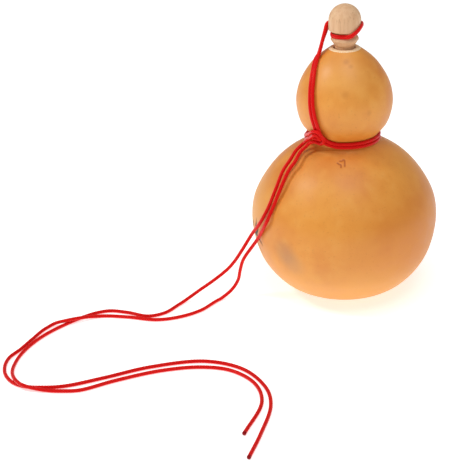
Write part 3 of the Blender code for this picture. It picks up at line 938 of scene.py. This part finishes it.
def tip_scale(from_tip):
    """How wide the cord is near its sealed tip, next to its usual width: swollen, then rounded off."""
    scale = 1.0
    if from_tip < TIP_ROUNDING:
        scale = math.sqrt(max(1.0 - (1.0 - from_tip / TIP_ROUNDING) ** 2, TIP_END_AREA))
    if from_tip < TIP_LENGTH:
        scale *= 1.0 + TIP_SWELL * math.sin(math.pi * from_tip / TIP_LENGTH)
    return scale


def weave(turn, along):
    """How far the braid stands out, from -1 to 1, at a turn round the strand and a distance along it."""
    return math.cos(BRAID_AROUND * turn) * math.cos(math.tau * along / BRAID_PERIOD)


def pressed_rings(points):
    """The rings of the fold round the stopper: a braided strand pressed flat against it by the pull."""
    rings = []
    neighbours = zip(points[-1:] + points, points[1:] + points[:1])
    for point, along, (before, after) in zip(points, line_lengths(points), neighbours):
        tangent = (after - before).normalized()
        across = tangent.cross(Vector((point.x, point.y, 0.0))).normalized()
        out = across.cross(tangent)
        places = []
        relief = []
        for step in range(TUBE_SIDES):
            turn = math.tau * step / TUBE_SIDES
            raised = weave(turn, along)
            swell = 1.0 + BRAID_RELIEF * raised
            places.append(point + (out * (LOOP_HALF_DEPTH * math.cos(turn))
                                   + across * (LOOP_HALF_WIDTH * math.sin(turn))) * swell)
            relief.append(0.5 + 0.5 * raised)
        rings.append((places, relief, [0.0] * TUBE_SIDES))
    return rings


def strand_rings(points, sealed=False):
    """The rings of a braided strand: each is its places, its braid's relief and how sealed it is."""
    lengths = line_lengths(points)
    rings = []
    for point, along, (side, other) in zip(points, lengths, tube_frames(points)):
        from_tip = lengths[-1] - along
        scale = tip_scale(from_tip) if sealed else 1.0
        melt = max(0.0, 1.0 - from_tip / TIP_LENGTH) if sealed else 0.0
        places = []
        relief = []
        for step in range(TUBE_SIDES):
            turn = math.tau * step / TUBE_SIDES
            raised = weave(turn, along)
            radius = CORD_RADIUS * scale * (1.0 + BRAID_RELIEF * raised * (1.0 - melt))
            places.append(point + (side * math.cos(turn) + other * math.sin(turn)) * radius)
            relief.append(0.5 + 0.5 * raised)
        rings.append((places, relief, [min(1.0, melt * TIP_DARKENING)] * TUBE_SIDES))
    return rings


def make_strand(name, rings, satin, closed=False):
    """A stretch of strand through its rings: a ring of its own if `closed`, else with both ends shut."""
    places, relief, melt = (sum(column, []) for column in zip(*rings))
    faces = grid_faces(len(rings), TUBE_SIDES)
    last = (len(rings) - 1) * TUBE_SIDES
    if closed:
        faces += [(last + c, c, (c + 1) % TUBE_SIDES, last + (c + 1) % TUBE_SIDES) for c in range(TUBE_SIDES)]
    else:
        faces.append(tuple(range(TUBE_SIDES)))
        faces.append(tuple(reversed(range(last, last + TUBE_SIDES))))
    mesh = bpy.data.meshes.new(name)
    mesh.from_pydata(places, [], [tuple(reversed(face)) for face in faces])
    mesh.materials.append(satin)
    mesh.attributes.new("braid", "FLOAT", "POINT").data.foreach_set("value", relief)
    mesh.attributes.new("sealed", "FLOAT", "POINT").data.foreach_set("value", melt)
    mesh.shade_smooth()
    mesh.set_sharp_from_angle(angle=math.radians(CORD_SHARP_ANGLE))
    strand = bpy.data.objects.new(name, mesh)
    bpy.context.scene.collection.objects.link(strand)
    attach(strand, "root")
    return strand


def waist_points():
    """Middle line of the pair round the waist, from the front past the right and the back to the left."""
    points = []
    for azimuth in range(WAIST_START_AZIMUTH, WAIST_END_AZIMUTH, -WAIST_STEP):
        turn = math.radians(azimuth)
        height = WAIST_HEIGHT + WAIST_TILT * math.cos(turn - math.radians(WAIST_TILT_AZIMUTH))
        points.append(turned_point(WAIST_RADIUS, height, turn))
    return points


def back_knot_points():
    """The turns of the small knot that closes the fold behind the stopper."""
    side = BACK_KNOT_AXIS.cross(Vector((0.0, 0.0, 1.0))).normalized()
    other = BACK_KNOT_AXIS.cross(side)
    points = []
    for step in range(BACK_KNOT_STEPS + 1):
        turns = BACK_KNOT_TURNS * (step / BACK_KNOT_STEPS - 0.5)
        turn = math.tau * turns
        across = (side * math.cos(turn) + other * math.sin(turn)) * BACK_KNOT_RADIUS
        points.append(BACK_KNOT_CENTRE + BACK_KNOT_AXIS * (BACK_KNOT_PITCH * turns) + across)
    return points


def strand_line(side, route, outline):
    """A whole strand from the back knot to its tip, and the number of its points that the knots hold."""
    pair = resample(smooth_curve(RISER_ROUTE + waist_points() + LAP_ROUTE, ROUTE_STEPS), TUBE_STEP)
    tail = resample(smooth_curve(route, ROUTE_STEPS), TAIL_GAP)
    stub_count = round(STUB_LENGTH / TAIL_GAP)
    strand = resample(beside(pair, side * PAIR_SPACING / 2), JOIN_STEP)
    joined = smooth_curve(strand + resample(tail[:stub_count + 1], JOIN_STEP)[1:], JOIN_SMOOTHING)
    held = resample(lifted_clear(joined, outline), TUBE_STEP)
    return held + resample(lifted_clear(tail[stub_count:], outline), TUBE_STEP)[1:], len(held)


def make_cords(satin):
    outline = gourd_outer_line()
    loop_line = resample(closed_curve(LOOP_ROUTE, ROUTE_STEPS), TUBE_STEP)[:-1]
    loop = make_strand("cord_loop", pressed_rings(loop_line), satin, closed=True)
    knot = make_strand("cord_back_knot", strand_rings(resample(back_knot_points(), TUBE_STEP)), satin)
    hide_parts("cord_tie")
    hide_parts("cord_tie")
    for name, side, route in (("left", 1, TAIL_LEFT_ROUTE), ("right", -1, TAIL_RIGHT_ROUTE)):
        line, held_count = strand_line(side, route, outline)
        rings = strand_rings(line, sealed=True)
        held = make_strand("cord_held_" + name, rings[:held_count], satin)
        tail = make_strand("cord_tail_" + name + "_satin", rings[held_count - 1:], satin)
        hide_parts("cord_tie")
        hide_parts("cord_tail_" + name)


make_camera()
for light in LIGHTS:
    make_light(*light)
make_world()
make_floor()
bpy.context.scene.view_settings.view_transform = "Standard"
make_gourd(make_rind(), make_pith())
make_stopper(make_wood())
make_cords(make_satin())
